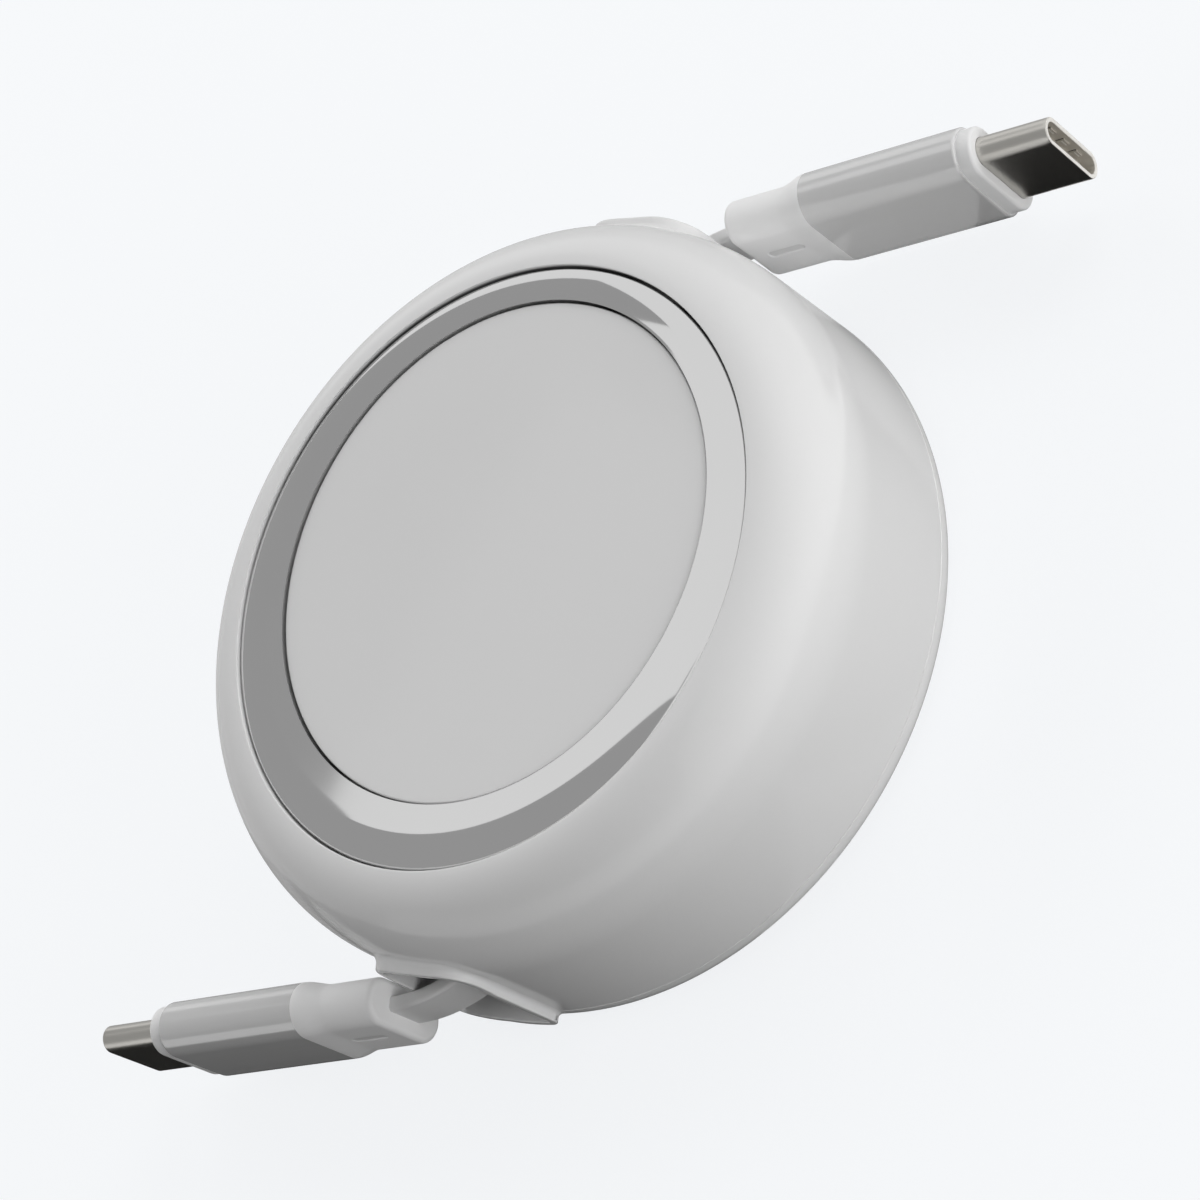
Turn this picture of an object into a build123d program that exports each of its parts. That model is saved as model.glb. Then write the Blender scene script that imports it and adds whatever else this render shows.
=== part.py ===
from build123d import *
from math import acos, asin, atan2, cos, degrees, hypot, pi, radians, sin
import os

# A retractable charging cable. A round puck holds a spring reel, and one flat cable is wound on it
# from its middle, so that both plugs are drawn out and wound in together.
# Millimetres. The puck lies on its back: the origin is the middle of the back face, +Z is the front
# normal and +X the way plug A points. Plug B is plug A turned half a turn about Z.

# Clearances
running_fit = 0.05
assembly_gap = 0.05
hairline = 0.25
free_gap = 0.3

# Puck housing
body_radius = 32.4
body_height = 20.5
shoulder_width = 6.3
shoulder_height = 8.0
back_edge_radius = 2.0
seam_height = 2.45
wall = 1.8
floor_thickness = 1.6
spigot_wall = 1.2
spigot_height = 1.6
trim_depth = 2.3
deck_thickness = 1.8
boss_radius = 5.0

# Cable windows in the side wall, with a raised lip round each
window_start = 3.3
window_end = 12.6
window_bottom = 2.2
window_drop = 6.4
window_corner = 2.4
lip_width = 0.7
lip_proud = 0.9
lip_round = 0.2
lip_fillet = 0.6

# Front trim: the disc sits off the middle, so the ring is wider on one side
ring_band = 4.05
ring_drop = 0.3
ring_crown = 0.55
disc_drop = 0.2
disc_edge_radius = 0.7
disc_offset_x = 0.8
disc_offset_y = 0.9

# Flat cable
cable_width = 4.2
cable_thickness = 1.3
cable_corner = 0.35
turns = 4
cable_bend = 15.0

# Reel
reel_gap = 1.55
reel_bottom = 3.4
flange_thickness = 1.0
hub_radius = 12.9
hub_wall = 1.5
winding_gap = 0.1
arbor_radius = 2.6
washer_radius = 5.5
washer_thickness = 0.75
spring_strip = 0.3
spring_turns = 7
spring_end_gap = 0.4

# Stop track on the reel's upper flange, and the pawl that rides in it
track_depth = 1.0
track_wall = 1.2
track_inside = 14.6
lane_width = 2.3
island_width = 1.6
island_count = 3
island_angle = 50.0
nib_radius = 0.8
pawl_arm = 9.0
pawl_width = 3.0
pawl_thickness = 1.2
pawl_pin_radius = 1.0
pawl_pin_head = 1.6
pin_head_thickness = 0.4
pawl_boss_radius = 2.6

# Centre screw
screw_radius = 1.15
screw_head_radius = 2.3
screw_head_height = 1.3
screw_tip_height = 5.0
driver_recess = 0.7

# Plugs, measured along +X from the puck's axis
plug_inset = 0.4
boot_rear = 15.0
boot_length = 8.1
boot_neck_length = 2.4
boot_width = 9.2
boot_thickness = 4.1
boot_edge_radius = 0.55
boot_slot_length = 3.5
boot_slot_width = 0.8
boot_slot_depth = 0.35
boot_slot_setback = 1.8
sleeve_length = 14.9
sleeve_width = 10.65
sleeve_thickness = 4.8
sleeve_wall = 0.5
sleeve_edge = 0.2
collar_exposed = 1.35
collar_width = 10.1
collar_thickness = 4.3
collar_round = 0.3
collar_tail = 1.2
shell_width = 8.25
shell_thickness = 2.4
shell_wall = 0.3
shell_exposed = 6.4
shell_hidden = 5.0
shell_edge = 0.12
insulator_setback = 1.25
insulator_length = 8.0
tongue_slot_width = 6.8
tongue_slot_height = 0.96
tongue_slot_depth = 5.6
contact_count = 12
contact_pitch = 0.5
contact_width = 0.28
contact_thickness = 0.12
contact_length = 4.6
ground_spring_count = 3
ground_spring_pitch = 2.0
ground_spring_width = 0.9
ground_spring_length = 0.7
ground_spring_thickness = 0.25
card_width = 7.0
card_thickness = 0.8
card_length = 8.0

# Worked out from the sizes above
cavity_radius = body_radius - wall
wall_top = body_height - shoulder_height
opening_radius = body_radius - shoulder_width
deck_height = body_height - trim_depth
deck_under = deck_height - deck_thickness
window_top = body_height - window_drop
ring_radius = opening_radius - hairline
ring_edge_top = body_height - ring_drop
disc_radius = ring_radius - ring_band - hairline
disc_top = body_height - disc_drop
ring_inside = ring_radius - ring_band - 2 * hypot(disc_offset_x, disc_offset_y)
spigot_radius = cavity_radius - assembly_gap
reel_radius = spigot_radius - spigot_wall - reel_gap
plug_offset = body_radius - plug_inset
winding_space = cable_width + 2 * free_gap
winding_bottom = reel_bottom + flange_thickness
flange_bottom = winding_bottom + winding_space
flange_top = flange_bottom + flange_thickness
cable_height = winding_bottom + winding_space / 2
winding_radius = hub_radius + winding_gap + 2 * turns * cable_thickness
arbor_bottom = reel_bottom - washer_thickness - running_fit
arbor_top = flange_top + free_gap
reel_bore = arbor_radius + running_fit
boot_front = boot_rear + boot_length
sleeve_front = boot_front + sleeve_length
collar_front = sleeve_front + collar_exposed
plug_tip = collar_front + shell_exposed
shell_rear = collar_front - shell_hidden
lane_inner = track_inside + lane_width / 2
lane_outer = track_inside + lane_width + island_width + lane_width / 2
lane_middle = (lane_inner + lane_outer) / 2
track_outside = track_inside + 2 * lane_width + island_width
pawl_swing = 2 * degrees(asin((lane_outer - lane_inner) / 2 / pawl_arm))
track_top = flange_top + track_depth
pin_head_bottom = track_top + free_gap
pawl_bottom = pin_head_bottom + pin_head_thickness + running_fit
pawl_top = pawl_bottom + pawl_thickness


def turned(*edges):
    """A solid of revolution about Z from a closed outline of radius and height."""
    return revolve(Plane.XZ * make_face(edges), Axis.Z)


def outline(*points):
    """Straight edges through points of radius and height, left open."""
    return Polyline(*points)


def tube(outer, inner, bottom, top):
    """A ring of rectangular section about Z."""
    return turned(Polyline((inner, bottom), (outer, bottom), (outer, top), (inner, top), close=True))


def upright(radius, bottom, top, x=0.0, y=0.0):
    """A round post."""
    return Pos(x, y, bottom) * extrude(Circle(radius), top - bottom)


def across(x, sketch):
    """A sketch set square to the plug's axis, its first direction up the puck's axis."""
    return Plane((x, plug_offset, cable_height), x_dir=(0, 0, 1), z_dir=(1, 0, 0)) * sketch


def prism(x_from, x_to, sketch):
    """A sketch carried along the plug's axis."""
    return extrude(across(x_from, sketch), x_to - x_from)


def window_block(margin, bottom, reach):
    """The cable window's outline, grown by a margin and carried out through the side wall."""
    width = window_end - window_start + 2 * margin
    height = 2 * (window_top + margin - bottom)
    middle = ((window_start + window_end) / 2, cavity_radius / 2, bottom)
    plane = Plane(middle, x_dir=(1, 0, 0), z_dir=(0, 1, 0))
    block = extrude(plane * RectangleRounded(width, height, window_corner + margin), reach)
    return block & upright(4 * body_radius, bottom, bottom + height)


def both_sides(shape):
    """A piece and its copy half a turn round the puck."""
    return shape + shape.rotate(Axis.Z, 180)


def lip_pad(bottom, top):
    """The raised pad that a window's lip is left from, between two heights."""
    reach = 2 * body_radius
    return window_block(lip_width, bottom, reach) & tube(body_radius + lip_proud, cavity_radius, bottom, top)


def edges_by_window(shape, nearest, farthest):
    """The edges beside either window whose points all lie between two distances from the axis."""
    chosen = []
    for edge in shape.edges():
        points = [edge @ t for t in (0, 0.25, 0.5, 0.75, 1)]
        far = [hypot(p.X, p.Y) for p in points]
        beside = max(abs(p.X) for p in points) < window_end + lip_width + hairline
        lifted = max(p.Z for p in points) > seam_height + assembly_gap
        below = max(p.Z for p in points) < window_top + lip_width + hairline
        if nearest < min(far) and max(far) < farthest and beside and lifted and below:
            chosen.append(edge)
    return chosen


def make_front_shell():
    """The white front half: a turned cup with a soft shoulder, a deck for the trim and a centre boss."""
    centre = (opening_radius, wall_top)
    shoulder = EllipticalCenterArc(centre, shoulder_width, shoulder_height, arc_size=90)
    inner_rise = shoulder_height - wall
    inner_end = degrees(asin((deck_under - wall_top) / inner_rise))
    inside = EllipticalCenterArc(centre, shoulder_width - wall, inner_rise, arc_size=inner_end)
    outside = outline((cavity_radius, seam_height), (body_radius, seam_height), (body_radius, wall_top))
    front = outline(
        (opening_radius, body_height),
        (opening_radius, deck_height),
        (0, deck_height),
        (0, arbor_top),
        (boss_radius, arbor_top),
        (boss_radius, deck_under),
        inside @ 1,
    )
    back = outline(inside @ 0, (cavity_radius, seam_height))
    shell = turned(*outside.edges(), shoulder, *front.edges(), inside, *back.edges())
    pivot_x, pivot_y = pawl_pivot()
    shell += upright(pawl_boss_radius, pawl_top + running_fit, deck_under, pivot_x, pivot_y)
    shell -= upright(pawl_pin_radius + assembly_gap, pawl_top, deck_under, pivot_x, pivot_y)
    shell -= upright(screw_radius + assembly_gap, arbor_top, deck_height)
    sink = deck_height - screw_head_height - assembly_gap
    shell -= upright(screw_head_radius + assembly_gap, sink, deck_height)
    shell += both_sides(lip_pad(seam_height, body_height))
    crest = body_radius + lip_proud
    shell = fillet(edges_by_window(shell, cavity_radius, body_radius + assembly_gap), lip_fillet)
    shell -= both_sides(window_block(0, window_bottom, 2 * body_radius))
    return fillet(edges_by_window(shell, crest - assembly_gap, crest + assembly_gap), lip_round)


def make_back_cover():
    """The white back: a shallow dish with a rounded edge, a spigot that snaps into the shell and a boss."""
    flat = outline((0, floor_thickness), (0, 0), (body_radius - back_edge_radius, 0))
    edge = CenterArc((body_radius - back_edge_radius, back_edge_radius), back_edge_radius, -90, 90)
    rim = outline(
        (body_radius, back_edge_radius),
        (body_radius, seam_height - assembly_gap),
        (spigot_radius, seam_height - assembly_gap),
        (spigot_radius, seam_height + spigot_height),
        (spigot_radius - spigot_wall, seam_height + spigot_height),
        (spigot_radius - spigot_wall, floor_thickness),
        (boss_radius, floor_thickness),
        (boss_radius, arbor_bottom),
        (0, arbor_bottom),
        (0, floor_thickness),
    )
    cover = turned(*flat.edges(), edge, *rim.edges())
    cover += both_sides(lip_pad(window_bottom - lip_width, seam_height - assembly_gap))
    return cover - both_sides(window_block(0, window_bottom, 2 * body_radius))


def make_trim_ring():
    """The polished ring: a crowned band whose bore is off its middle."""
    crown = ThreePointArc(
        (ring_radius, ring_edge_top),
        ((ring_radius + ring_inside) / 2, ring_edge_top + ring_crown),
        (ring_inside, ring_edge_top),
    )
    inner = (ring_inside, deck_height)
    sides = outline((ring_inside, ring_edge_top), inner, (ring_radius, deck_height), crown @ 0)
    ring = turned(crown, *sides.edges())
    top = body_height + ring_crown
    return ring - upright(disc_radius + hairline, deck_height, top, disc_offset_x, disc_offset_y)


def make_front_disc():
    """The bare front disc with its softened edge, glued to the deck."""
    disc = upright(disc_radius, deck_height, disc_top, disc_offset_x, disc_offset_y)
    return fillet(disc.edges().group_by(Axis.Z)[-1], disc_edge_radius)


def make_spring_arbor():
    """The fixed post that the reel turns on, slit for the spring's inner end and bored for the screw."""
    post = upright(arbor_radius, arbor_bottom, arbor_top)
    slit_height = arbor_top - winding_bottom
    slit = Box(arbor_radius, 2 * spring_strip, slit_height, align=(Align.MIN, Align.CENTER, Align.MIN))
    post -= Pos(screw_radius + assembly_gap, 0, winding_bottom) * slit
    return post - upright(screw_radius + assembly_gap, screw_tip_height - free_gap, arbor_top)


def make_centre_screw():
    """The screw that draws the arbor up to the deck, hidden under the disc."""
    head_bottom = deck_height - screw_head_height
    screw = upright(screw_radius, screw_tip_height, head_bottom)
    screw += upright(screw_head_radius, head_bottom, deck_height)
    recess = Pos(0, 0, deck_height - driver_recess) * extrude(RegularPolygon(screw_radius, 6), driver_recess)
    return screw - recess


def make_reel_drum():
    """The reel: a spring barrel with the lower flange, bored for the arbor."""
    flange = tube(reel_radius, reel_bore, reel_bottom, winding_bottom)
    return flange + tube(hub_radius, hub_radius - hub_wall, winding_bottom, flange_bottom)


def make_reel_flange():
    """The upper flange, which closes the spring barrel and carries the stop track."""
    flange = tube(reel_radius, reel_bore, flange_bottom, flange_top)
    flange += tube(track_inside, track_inside - track_wall, flange_top, track_top)
    flange += tube(track_outside + track_wall, track_outside, flange_top, track_top)
    island_inside = track_inside + lane_width
    lane = tube(island_inside + island_width, island_inside, flange_top, track_top)
    for k in range(island_count):
        middle = 180 + (k + 0.5) * 360 / island_count
        corner = 2 * island_inside
        spread = radians(island_angle / 2)
        wedge = Polyline(
            (0, 0),
            (corner * cos(spread), -corner * sin(spread)),
            (corner * cos(spread), corner * sin(spread)),
            close=True,
        )
        sector = Pos(0, 0, flange_top) * extrude(make_face(wedge), track_depth)
        flange += lane & sector.rotate(Axis.Z, middle)
    return flange


def make_cable_winding():
    """The wound cable: two strands side by side, every turn standing out as a rounded ridge."""
    inside = hub_radius + winding_gap
    layers = 2 * turns
    section = Pos(inside + layers * cable_thickness / 2, cable_height) * Rectangle(
        (layers - 1) * cable_thickness, cable_width - 2 * cable_corner
    )
    for k in range(layers):
        middle = inside + (k + 0.5) * cable_thickness
        section += Pos(middle, cable_height) * RectangleRounded(cable_thickness, cable_width, cable_corner)
    return revolve(Plane.XZ * section, Axis.Z)


def make_main_spring():
    """The flat spiral spring in the barrel, drawn as a strip between two spirals."""
    inside = arbor_radius + spring_end_gap
    outside = hub_radius - hub_wall - spring_end_gap - spring_strip
    steps = 12 * spring_turns

    def spiral(offset):
        points = []
        for k in range(steps + 1):
            angle = 2 * pi * spring_turns * k / steps
            radius = inside + (outside - inside) * k / steps + offset
            points.append((radius * cos(angle), radius * sin(angle)))
        return Spline(*points)

    inner = spiral(0)
    outer = spiral(spring_strip)
    strip = make_face([inner, Line(inner @ 1, outer @ 1), outer, Line(outer @ 0, inner @ 0)])
    height = winding_space - 2 * free_gap
    return Pos(0, 0, winding_bottom + free_gap) * extrude(strip, height)


def make_thrust_washer():
    """The slip washer that the reel runs on."""
    return tube(washer_radius, reel_bore, arbor_bottom, arbor_bottom + washer_thickness)


def pawl_pivot():
    """The pawl's pivot: square to the radius at the nib's middle place, on the -X side."""
    return -lane_middle, pawl_arm


def make_latch_pawl():
    """The pawl: a flat arm on its pin with a round nib in the inner lane of the track."""
    pivot_x, pivot_y = pawl_pivot()
    lean = radians(pawl_swing / 2)
    nib_x = pivot_x + pawl_arm * sin(lean)
    nib_y = pivot_y - pawl_arm * cos(lean)
    turn = degrees(atan2(nib_y - pivot_y, nib_x - pivot_x))
    middle = Pos((pivot_x + nib_x) / 2, (pivot_y + nib_y) / 2)
    arm = middle * SlotOverall(pawl_arm + pawl_width, pawl_width, rotation=turn)
    pawl = Pos(0, 0, pawl_bottom) * extrude(arm, pawl_thickness)
    pawl += upright(nib_radius, flange_top + free_gap, pawl_bottom, nib_x, nib_y)
    return pawl - upright(pawl_pin_radius + running_fit, pawl_bottom, pawl_top, pivot_x, pivot_y)


def make_pawl_pin():
    """The headed pin that hangs the pawl from the deck."""
    pivot_x, pivot_y = pawl_pivot()
    pin = upright(pawl_pin_radius, pin_head_bottom, deck_under, pivot_x, pivot_y)
    pin_head_top = pin_head_bottom + pin_head_thickness
    return pin + upright(pawl_pin_head, pin_head_bottom, pin_head_top, pivot_x, pivot_y)


def cable_route(split):
    """The cable's line from the winding to the boot: a straight tangent, then a bend along +X.

    Both the winding and the bend turn the same way, so the line is their outer tangent. Returns the line's
    start, the bend's start and the point of the bend that lies at the split, which is a distance along X.
    """
    run_radius = winding_radius + free_gap + cable_thickness / 2
    centre = Vector(boot_rear, plug_offset - cable_bend)
    lean = acos((run_radius - cable_bend) / centre.length) - atan2(centre.X, centre.Y)
    left = Vector(-sin(lean), cos(lean))
    back = asin((boot_rear - split) / cable_bend)
    point = centre + Vector(-sin(back), cos(back)) * cable_bend
    height = Vector(0, 0, cable_height)
    return left * run_radius + height, centre + left * cable_bend + height, point + height


def cable_section(start, along):
    """The flat cable's section, set square to its line."""
    plane = Plane(start, x_dir=(0, 0, 1), z_dir=along)
    return plane * RectangleRounded(cable_width, cable_thickness, cable_corner)


def make_cable_run():
    """The stretch from the winding out through the window, which stays with the housing."""
    start, bend_start, mouth = cable_route(window_end)
    along = bend_start - start
    bend = TangentArc(bend_start, mouth, tangent=along)
    return sweep(cable_section(start, along), Wire([Line(start, bend_start), bend]))


def make_cable_lead():
    """The rest of the bend, from the window's end into the boot, which leaves with the plug."""
    mouth = cable_route(window_end + assembly_gap)[2]
    rear = Vector(boot_rear, plug_offset, cable_height)
    bend = TangentArc(rear, mouth, tangent=Vector(-1, 0, 0))
    return sweep(cable_section(rear, Vector(-1, 0, 0)), bend)


def make_boot():
    """The soft boot behind the sleeve: a flat oval with a flared neck and a slot on each face."""
    neck = boot_front - boot_neck_length
    rear = SlotOverall(boot_width, boot_thickness)
    middle = SlotOverall((boot_width + sleeve_width) / 2, (boot_thickness + sleeve_thickness) / 2)
    front = SlotOverall(sleeve_width, sleeve_thickness)
    boot = prism(boot_rear, neck, rear)
    boot = fillet(boot.edges().group_by(Axis.X)[0], boot_edge_radius)
    boot += loft([across(neck, rear), across((neck + boot_front) / 2, middle), across(boot_front, front)])
    slot_middle = boot_rear + boot_slot_setback + boot_slot_length / 2
    for side in (-1, 1):
        face = plug_offset + side * (boot_thickness / 2 - boot_slot_depth)
        plane = Plane((slot_middle, face, cable_height), x_dir=(1, 0, 0), z_dir=(0, side, 0))
        boot -= extrude(plane * SlotOverall(boot_slot_length, boot_slot_width), boot_thickness)
    return boot


def make_sleeve():
    """The satin sleeve: a drawn oval tube."""
    outer = SlotOverall(sleeve_width, sleeve_thickness)
    inner = SlotOverall(sleeve_width - 2 * sleeve_wall, sleeve_thickness - 2 * sleeve_wall)
    sleeve = prism(boot_front, sleeve_front, outer)
    sleeve = fillet(sleeve.edges().group_by(Axis.X)[-1], sleeve_edge)
    return sleeve - prism(boot_front, sleeve_front, inner)


def sleeve_core():
    """The oval that fits inside the sleeve."""
    shrink = 2 * (sleeve_wall + assembly_gap)
    return SlotOverall(sleeve_width - shrink, sleeve_thickness - shrink)


def shell_oval(grow):
    """The plug shell's outline, grown all round."""
    return SlotOverall(shell_width + 2 * grow, shell_thickness + 2 * grow)


def make_collar():
    """The white collar: a tail in the sleeve and a rounded nose on the sleeve's rim, round the shell."""
    collar = prism(sleeve_front - collar_tail, sleeve_front, sleeve_core())
    nose = prism(sleeve_front, collar_front, SlotOverall(collar_width, collar_thickness))
    collar += fillet(nose.edges().group_by(Axis.X)[-1], collar_round)
    return collar - prism(sleeve_front - collar_tail, collar_front, shell_oval(assembly_gap))


def make_inner_mould():
    """The moulded block that fills the sleeve and holds the shell and the card."""
    rear = boot_front
    front = sleeve_front - collar_tail
    mould = prism(rear, front, sleeve_core())
    mould -= prism(shell_rear - assembly_gap, front, shell_oval(assembly_gap))
    pocket = Rectangle(card_width + 2 * assembly_gap, card_thickness + 2 * assembly_gap)
    return mould - prism(shell_rear - card_length - 2 * assembly_gap, shell_rear, pocket)


def make_paddle_card():
    """The small circuit card that the cable's wires are soldered to."""
    front = shell_rear - assembly_gap
    return prism(front - card_length, front, Rectangle(card_width, card_thickness))


def make_plug_shell():
    """The deep-drawn metal shell, open at the tip, its rim rounded."""
    shell = prism(shell_rear, plug_tip, shell_oval(0)) - prism(shell_rear, plug_tip, shell_oval(-shell_wall))
    return fillet(shell.edges().group_by(Axis.X)[-1], shell_edge)


def make_insulator():
    """The insulator in the shell, slotted for the socket's tongue."""
    front = plug_tip - insulator_setback
    body = prism(front - insulator_length, front, shell_oval(-shell_wall - assembly_gap))
    return body - prism(front - tongue_slot_depth, front, Rectangle(tongue_slot_width, tongue_slot_height))


def make_contacts():
    """Two rows of contact strips on the slot's long faces."""
    front = plug_tip - insulator_setback - free_gap
    strips = []
    for side in (-1, 1):
        for k in range(contact_count):
            across_row = (k - (contact_count - 1) / 2) * contact_pitch
            depth = side * (tongue_slot_height - contact_thickness) / 2
            spot = Pos(across_row, depth) * Rectangle(contact_width, contact_thickness)
            strips.append(prism(front - contact_length, front, spot))
    return Compound(strips)


def make_ground_springs():
    """The spring pads just inside the shell's mouth, on both long walls."""
    front = plug_tip - insulator_setback + assembly_gap + ground_spring_length
    pads = []
    for side in (-1, 1):
        for k in range(ground_spring_count):
            across_row = (k - (ground_spring_count - 1) / 2) * ground_spring_pitch
            depth = side * (shell_thickness / 2 - shell_wall - ground_spring_thickness / 2)
            spot = Pos(across_row, depth) * Rectangle(ground_spring_width, ground_spring_thickness)
            pads.append(prism(front - ground_spring_length, front, spot))
    return Compound(pads)


housing = {
    "front_shell": make_front_shell(),
    "back_cover": make_back_cover(),
    "trim_ring": make_trim_ring(),
    "front_disc": make_front_disc(),
    "spring_arbor": make_spring_arbor(),
    "centre_screw": make_centre_screw(),
    "thrust_washer": make_thrust_washer(),
    "pawl_pin": make_pawl_pin(),
}
reel = {
    "reel_drum": make_reel_drum(),
    "reel_flange": make_reel_flange(),
    "cable_winding": make_cable_winding(),
    "main_spring": make_main_spring(),
}
latch = {"latch_pawl": make_latch_pawl()}
side_a = {
    "cable_run": make_cable_run(),
    "cable_lead": make_cable_lead(),
    "boot": make_boot(),
    "sleeve": make_sleeve(),
    "collar": make_collar(),
    "inner_mould": make_inner_mould(),
    "paddle_card": make_paddle_card(),
    "plug_shell": make_plug_shell(),
    "insulator": make_insulator(),
    "contacts": make_contacts(),
    "ground_springs": make_ground_springs(),
}

os.makedirs("parts", exist_ok=True)
for node, solid in {**housing, **reel, **latch}.items():
    export_step(solid, f"parts/{node}.step")
for node, solid in side_a.items():
    export_step(solid, f"parts/{node}_a.step")
    export_step(solid.rotate(Axis.Z, 180), f"parts/{node}_b.step")
print("plug tip", plug_tip, "cable height", cable_height, "pawl swing", pawl_swing)
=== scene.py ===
import bpy
import numpy as np
from mathutils import Matrix


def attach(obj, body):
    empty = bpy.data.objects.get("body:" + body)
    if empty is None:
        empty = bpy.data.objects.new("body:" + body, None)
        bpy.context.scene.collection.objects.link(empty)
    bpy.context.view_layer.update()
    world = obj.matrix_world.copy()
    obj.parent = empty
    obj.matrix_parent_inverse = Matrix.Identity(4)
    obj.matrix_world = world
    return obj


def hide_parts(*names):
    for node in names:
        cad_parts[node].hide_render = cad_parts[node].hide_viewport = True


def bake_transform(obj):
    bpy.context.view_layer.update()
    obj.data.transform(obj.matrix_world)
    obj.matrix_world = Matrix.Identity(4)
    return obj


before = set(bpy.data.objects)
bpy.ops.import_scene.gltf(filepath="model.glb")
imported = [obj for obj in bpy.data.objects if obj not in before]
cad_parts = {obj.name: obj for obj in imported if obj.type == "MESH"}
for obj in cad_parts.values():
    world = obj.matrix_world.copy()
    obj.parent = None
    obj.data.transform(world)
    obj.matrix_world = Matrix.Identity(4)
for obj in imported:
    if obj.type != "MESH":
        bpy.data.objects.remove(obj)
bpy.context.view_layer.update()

# The camera.
# A long lens looks down on the puck's front from the plugs' right, with the camera rolled so that the
# puck seems to lean. The place and the three directions are in the part's own frame.
mm = 0.001
camera_place = np.array([172.56, -113.01, 218.87]) * mm
camera_back = np.array([0.5782, -0.3875, 0.7180])
camera_up = np.array([0.1764, 0.9186, 0.3537])
camera_lens = 106.65
camera_sensor = 36
near_clip, far_clip = 10 * mm, 10

camera_back = camera_back / np.linalg.norm(camera_back)
camera_right = np.cross(camera_up, camera_back)
camera_right = camera_right / np.linalg.norm(camera_right)
camera_up = np.cross(camera_back, camera_right)
scene = bpy.context.scene
scene.view_settings.view_transform = "Standard"
camera_data = bpy.data.cameras.new("camera")
camera_data.lens = camera_lens
camera_data.sensor_width = camera_sensor
camera_data.clip_start = near_clip
camera_data.clip_end = far_clip
camera = bpy.data.objects.new("camera", camera_data)
scene.collection.objects.link(camera)


def aimed(right, up, back, place):
    """The matrix that puts a camera or a lamp at a place, with its three directions as columns."""
    columns = np.eye(4)
    columns[:3] = np.stack([right, up, back, place], axis=1)
    return Matrix(columns.tolist())


camera.matrix_world = aimed(camera_right, camera_up, camera_back, camera_place)
scene.camera = camera


# The floor and the studio.
# A pale sheet lies under the puck, and eight square soft lamps stand round it. Polished pieces don't see
# the lamps: for glossy rays alone the sheet has lighter and darker regions and the sky has light screens.
class Shade:
    """A shader socket. Operators on it add Math nodes, and node() adds a node of any other type."""

    def __init__(self, tree, socket=None):
        self.tree = tree
        self.socket = socket

    def node(self, kind, settings, sockets, out=0):
        made = self.tree.nodes.new(kind)
        for name, value in settings.items():
            setattr(made, name, value)
        for name, value in sockets.items():
            if isinstance(value, Shade):
                self.tree.links.new(value.socket, made.inputs[name])
            else:
                made.inputs[name].default_value = value
        return Shade(self.tree, made.outputs[out] if made.outputs else None)

    def math(self, operation, first, second):
        return self.node("ShaderNodeMath", {"operation": operation}, {0: first, 1: second})

    def mix(self, first, second):
        """The first colour where this value is nought, the second where it is one."""
        return self.node("ShaderNodeMix", {"data_type": "RGBA"}, {"Factor": self, 6: first, 7: second}, 2)

    def __add__(self, other):
        return self.math("ADD", self, other)

    def __sub__(self, other):
        return self.math("SUBTRACT", self, other)

    def __rsub__(self, other):
        return self.math("SUBTRACT", other, self)

    def __mul__(self, other):
        return self.math("MULTIPLY", self, other)

    def __or__(self, other):
        return self.math("MAXIMUM", self, other)

    def __gt__(self, other):
        return self.math("GREATER_THAN", self, other)

    def __lt__(self, other):
        return self.math("LESS_THAN", self, other)

    __radd__ = __add__
    __rmul__ = __mul__
    __ror__ = __or__


backdrop_colour = np.array([0.931, 0.947, 0.965, 1])
floor_half = 3.0
floor_glow = 1.035
glow_share = 0.85
floor_bounce = 0.25

# What glossy rays see of the sheet: how bright its regions are, and where they begin and end.
floor_dark = 0.015
floor_near = 0.30
floor_light = 0.50
tip_light = 0.55
far_edge = 31 * mm
slant = 0.5
slant_edge = 14 * mm
slant_end = 20 * mm
near_edge = -28 * mm
near_end = 33 * mm
tip_start = 40 * mm

floor_corners = floor_half * np.array([[-1, -1, 0], [1, -1, 0], [1, 1, 0], [-1, 1, 0]])
floor_mesh = bpy.data.meshes.new("floor")
floor_mesh.from_pydata(floor_corners.tolist(), [], [(0, 1, 2, 3)])
floor = bpy.data.objects.new("floor", floor_mesh)
scene.collection.objects.link(floor)
floor_sheet = bpy.data.materials.new("floor_sheet")
floor_sheet.use_nodes = True
floor_sheet.node_tree.nodes.clear()
start = Shade(floor_sheet.node_tree)
is_camera = start.node("ShaderNodeLightPath", {}, {}, "Is Camera Ray")
is_glossy = start.node("ShaderNodeLightPath", {}, {}, "Is Glossy Ray")
place = start.node("ShaderNodeTexCoord", {}, {}, "Object")
east = start.node("ShaderNodeSeparateXYZ", {}, {"Vector": place}, "X")
north = start.node("ShaderNodeSeparateXYZ", {}, {"Vector": place}, "Y")
over_slant = (north - slant * east > slant_edge) * (east < slant_end)
lit = (north > far_edge) | over_slant
beside = (north > near_edge) * (east < near_end) * (1 - lit)
at_tip = lit * (east > tip_start)
mirrored = floor_dark + (floor_light - floor_dark) * lit + floor_near * beside + tip_light * at_tip
pale = tuple(backdrop_colour)
paper = is_camera.mix((floor_bounce, floor_bounce, floor_bounce, 1), pale)
bright = is_camera.mix(mirrored, tuple(backdrop_colour * floor_glow))
matte = start.node("ShaderNodeBsdfDiffuse", {}, {"Color": paper})
glow = start.node("ShaderNodeEmission", {}, {"Color": bright})
seen = start.node("ShaderNodeMixShader", {}, {0: is_camera * glow_share + is_glossy, 1: matte, 2: glow})
start.node("ShaderNodeOutputMaterial", {}, {"Surface": seen})
floor_mesh.materials.append(floor_sheet)

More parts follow.
